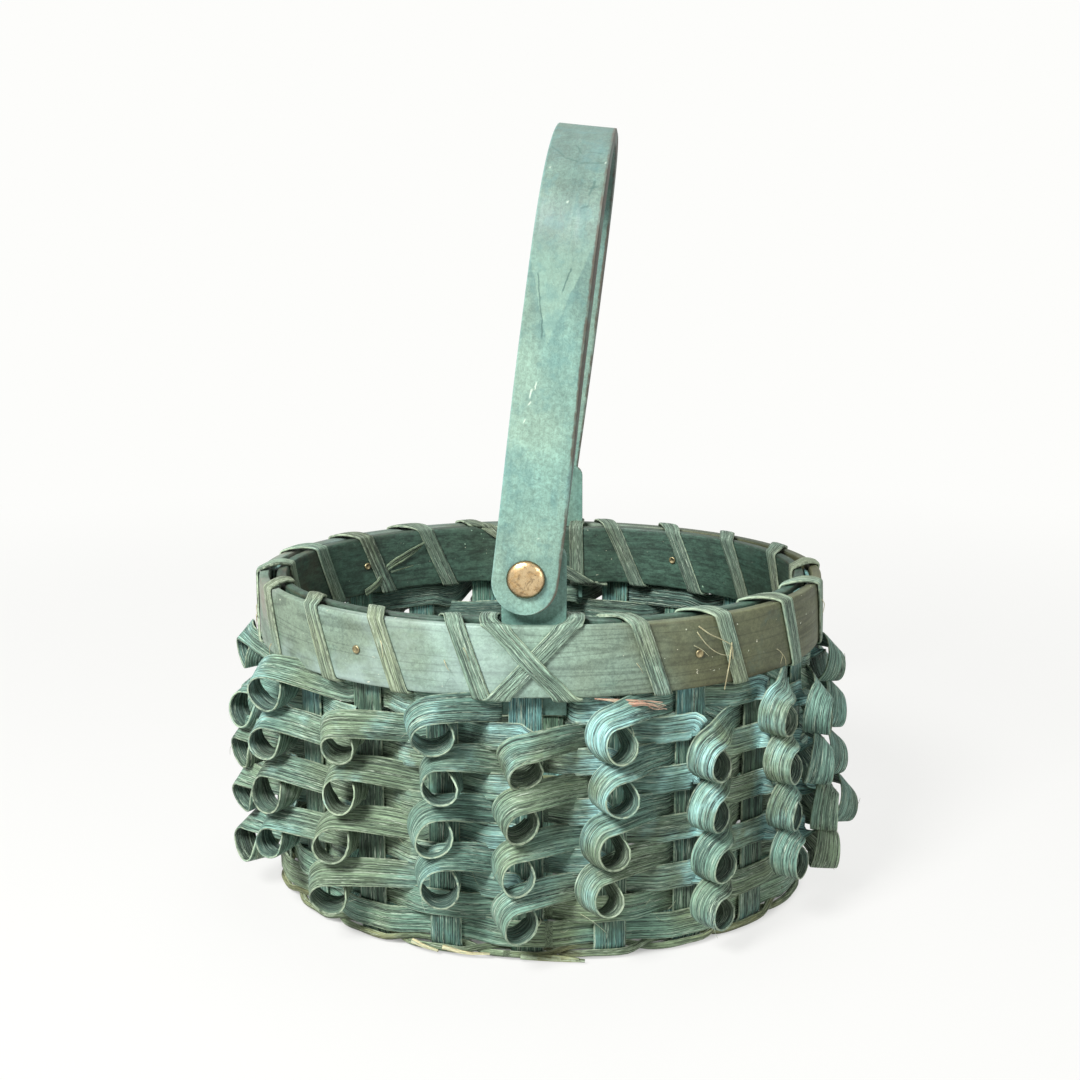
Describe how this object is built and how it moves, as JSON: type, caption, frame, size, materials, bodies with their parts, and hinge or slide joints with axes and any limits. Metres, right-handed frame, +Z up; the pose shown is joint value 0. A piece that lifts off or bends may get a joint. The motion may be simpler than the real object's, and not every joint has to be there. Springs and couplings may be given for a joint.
{
  "type": "woven basket",
  "caption": "Oval splint basket with curled weavers, a lashed double rim and a riveted wooden handle that swings over it.",
  "frame": {"origin": "middle of the footprint on the ground", "axes": "+Z up, X along the long side of the oval, the handle turns about Y"},
  "size_m": [0.2468, 0.2048, 0.2892],
  "materials": {
    "stake_splint": "green stained splint, dry and fibrous",
    "curled_splint": "green stained splint with pale ridges",
    "plain_splint": "green stained splint, dry and fibrous",
    "round_reed": "green stained round reed",
    "lashing_reed": "pale olive flat reed",
    "band_wood": "stained bent wood, satin",
    "ear_wood": "stained wood, satin",
    "handle_wood": "pale sage stained bent wood, worn",
    "rivet_brass": "aged brass with patina",
    "nail_iron": "dulled nail"
  },
  "bodies": {
    "basket_body": {"stake_crosswise_1": "stake_splint", "stake_crosswise_2": "stake_splint", "stake_crosswise_3": "stake_splint", "stake_crosswise_4": "stake_splint", "stake_crosswise_5": "stake_splint", "stake_crosswise_6": "stake_splint", "stake_crosswise_7": "stake_splint", "stake_lengthwise_1": "stake_splint", "stake_lengthwise_2": "stake_splint", "stake_lengthwise_3": "stake_splint", "curled_weaver_1": "curled_splint", "curled_weaver_2": "curled_splint", "curled_weaver_3": "curled_splint", "curled_weaver_4": "curled_splint", "curled_weaver_5": "curled_splint", "curled_weaver_6": "curled_splint", "curled_weaver_7": "curled_splint", "curled_weaver_8": "curled_splint", "plain_weaver_1": "plain_splint", "plain_weaver_2": "plain_splint", "twined_strand_1": "round_reed", "twined_strand_2": "round_reed", "rim_nail_1": "nail_iron", "rim_nail_2": "nail_iron", "rim_nail_3": "nail_iron", "rim_nail_4": "nail_iron", "rim_outer_band": "band_wood", "rim_inner_band": "band_wood", "rim_lashing": "lashing_reed", "ear_back": "ear_wood", "ear_front": "ear_wood", "rivet_front": "rivet_brass", "burr_front": "rivet_brass", "rivet_back": "rivet_brass", "burr_back": "rivet_brass"},
    "swing_handle": {"handle": "handle_wood"}
  },
  "joints": [
    {"name": "handle_swing", "type": "hinge", "parent": "basket_body", "child": "swing_handle", "pos_m": [0, 0, 0.141], "axis": [0, 1, 0], "range_deg": [-99.5, 84.5]}
  ]
}
